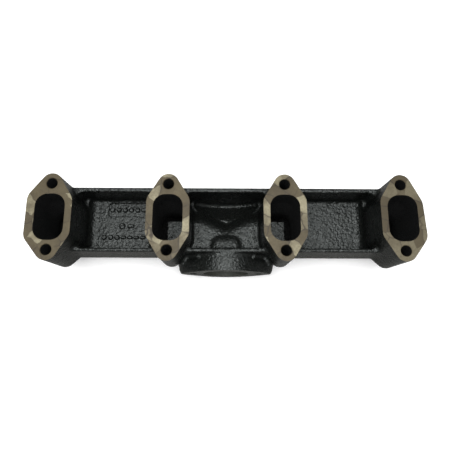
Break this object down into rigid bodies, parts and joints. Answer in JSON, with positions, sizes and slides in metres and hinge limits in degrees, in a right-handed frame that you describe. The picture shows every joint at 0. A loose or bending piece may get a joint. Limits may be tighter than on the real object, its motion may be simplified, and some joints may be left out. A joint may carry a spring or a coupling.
{
  "type": "exhaust manifold",
  "caption": "Cast-iron log exhaust manifold, painted black: bolted port flanges on short runners, stiffening ribs, one collector log and a side outlet flange.",
  "frame": {"origin": "middle of the bounding box in X and Y, on the floor plane that the log's back lies on", "axes": "+X along the manifold from port 1 to port 4, +Y across it and away from the outlet, +Z out of the port faces"},
  "size_m": [0.4102, 0.097, 0.105],
  "materials": {
    "painted_iron": "black satin heat paint over a sand-cast skin",
    "machined_face": "milled face, dulled and lightly stained"
  },
  "bodies": {
    "root": {"port_flange_1": "machined_face", "runner_1": "painted_iron", "upper_boss_1": "painted_iron", "lower_boss_1": "painted_iron", "log_branch_1": "painted_iron", "port_flange_2": "machined_face", "runner_2": "painted_iron", "upper_boss_2": "painted_iron", "lower_boss_2": "painted_iron", "log_branch_2": "painted_iron", "port_flange_3": "machined_face", "runner_3": "painted_iron", "upper_boss_3": "painted_iron", "lower_boss_3": "painted_iron", "log_branch_3": "painted_iron", "port_flange_4": "machined_face", "runner_4": "painted_iron", "upper_boss_4": "painted_iron", "lower_boss_4": "painted_iron", "log_branch_4": "painted_iron", "log_bay_12": "painted_iron", "top_rib_12": "painted_iron", "bottom_rib_12": "painted_iron", "log_bay_23": "painted_iron", "top_rib_23": "painted_iron", "bottom_rib_23": "painted_iron", "log_bay_34": "painted_iron", "top_rib_34": "painted_iron", "bottom_rib_34": "painted_iron", "outlet_elbow": "painted_iron", "outlet_neck": "painted_iron", "outlet_flange": "painted_iron", "mark_plate": "painted_iron", "mark_pair": "painted_iron", "mark_row": "painted_iron"}
  },
  "joints": []
}
